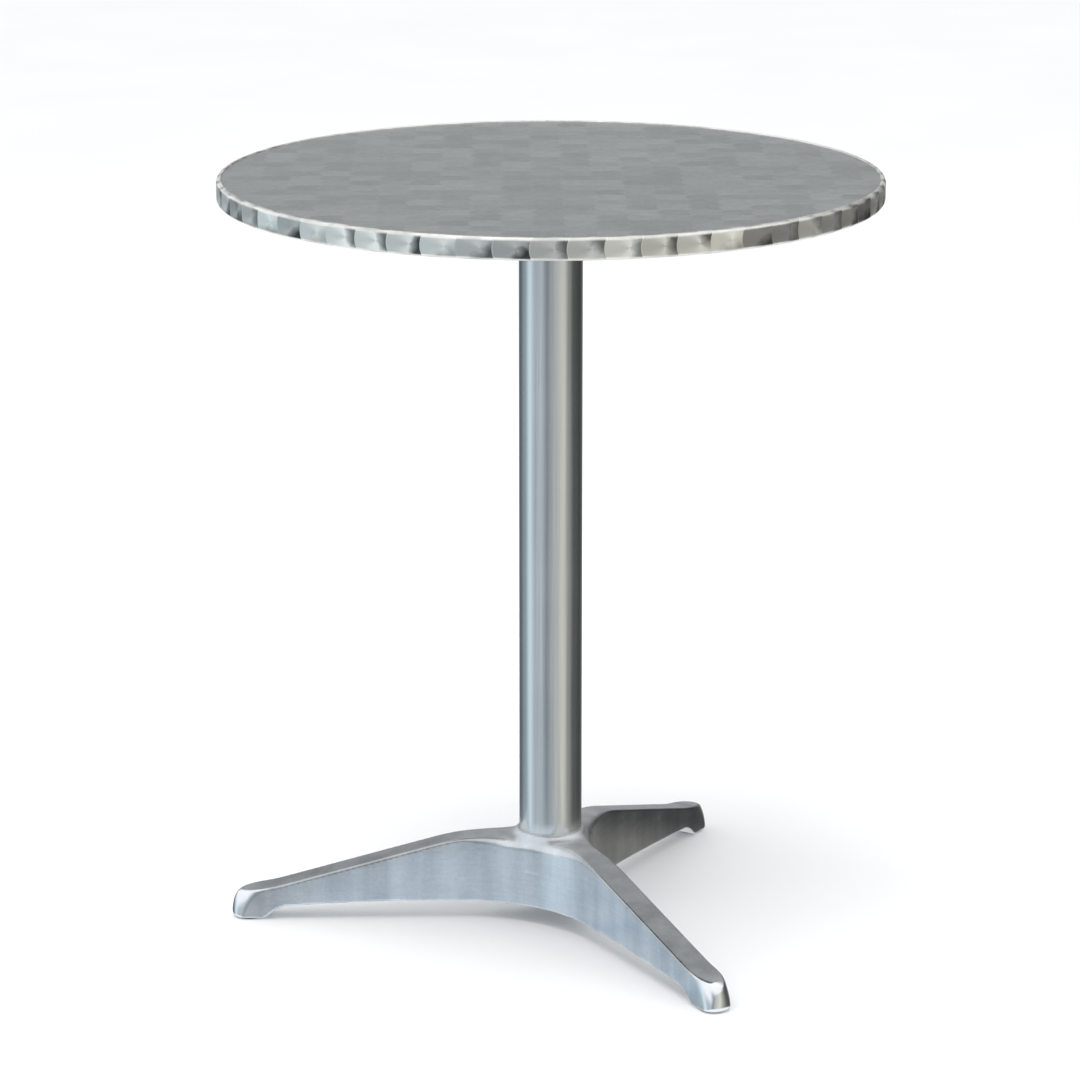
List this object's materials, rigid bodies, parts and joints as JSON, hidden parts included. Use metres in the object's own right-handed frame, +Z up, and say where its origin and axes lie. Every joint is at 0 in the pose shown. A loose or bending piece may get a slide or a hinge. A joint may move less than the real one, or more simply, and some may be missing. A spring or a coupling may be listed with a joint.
{
  "type": "bistro table",
  "caption": "Round metal-faced cafe table on one tubular column, with a cast base of splayed legs and levelling feet.",
  "frame": {"origin": "on the floor, under the column's axis, which is the centre of the round top", "axes": "+Z up; one leg lies along -X and the other two at 60 degrees either side of +X"},
  "size_m": [0.6, 0.6, 0.704],
  "materials": {
    "swirl_sheet": "faint swirl-polished sheet",
    "fibreboard": "raw fibreboard",
    "backing": "smooth dark laminate",
    "swirl_band": "bright, engine-turned in one row of swirls",
    "plain_strip": "mill finish",
    "raw_casting": "as cast, fine grain",
    "zinc_steel": "zinc plated",
    "spring_steel": "plain hardened steel",
    "drawn_tube": "satin, drawn along its length",
    "polished_casting": "polished casting",
    "pad_plastic": "moulded plastic"
  },
  "bodies": {
    "table": {"top_sheet": "swirl_sheet", "core_board": "fibreboard", "backing_sheet": "backing", "edge_band": "swirl_band", "band_joiner": "plain_strip", "top_bracket": "raw_casting", "bracket_screws": "zinc_steel", "column_tube": "drawn_tube", "tie_rod": "zinc_steel", "jam_nut": "zinc_steel", "flat_washer": "zinc_steel", "spring_washer": "spring_steel", "tie_nut": "zinc_steel", "base_casting": "polished_casting"},
    "pad_1": {"foot_pad_1": "pad_plastic"},
    "screw_1": {"foot_screw_1": "zinc_steel"},
    "pad_2": {"foot_pad_2": "pad_plastic"},
    "screw_2": {"foot_screw_2": "zinc_steel"},
    "pad_3": {"foot_pad_3": "pad_plastic"},
    "screw_3": {"foot_screw_3": "zinc_steel"}
  },
  "joints": [
    {"name": "foot_1_height", "type": "slide", "parent": "table", "child": "pad_1", "axis": [0, 0, -1], "range_m": [0, 0.00801]},
    {"name": "foot_1_turn", "type": "hinge", "parent": "pad_1", "child": "screw_1", "pos_m": [-0.2825, 0, 0.003], "axis": [0, 0, -1], "range_deg": [0, 2304]},
    {"name": "foot_2_height", "type": "slide", "parent": "table", "child": "pad_2", "axis": [0, 0, -1], "range_m": [0, 0.00801]},
    {"name": "foot_2_turn", "type": "hinge", "parent": "pad_2", "child": "screw_2", "pos_m": [0.14125, -0.24465, 0.003], "axis": [0, 0, -1], "range_deg": [0, 2304]},
    {"name": "foot_3_height", "type": "slide", "parent": "table", "child": "pad_3", "axis": [0, 0, -1], "range_m": [0, 0.00801]},
    {"name": "foot_3_turn", "type": "hinge", "parent": "pad_3", "child": "screw_3", "pos_m": [0.14125, 0.24465, 0.003], "axis": [0, 0, -1], "range_deg": [0, 2304]}
  ],
  "couplings": [
    {"joint": "foot_1_height", "follows": "foot_1_turn", "m_per_rad": 0.00019894},
    {"joint": "foot_2_height", "follows": "foot_2_turn", "m_per_rad": 0.00019894},
    {"joint": "foot_3_height", "follows": "foot_3_turn", "m_per_rad": 0.00019894}
  ]
}
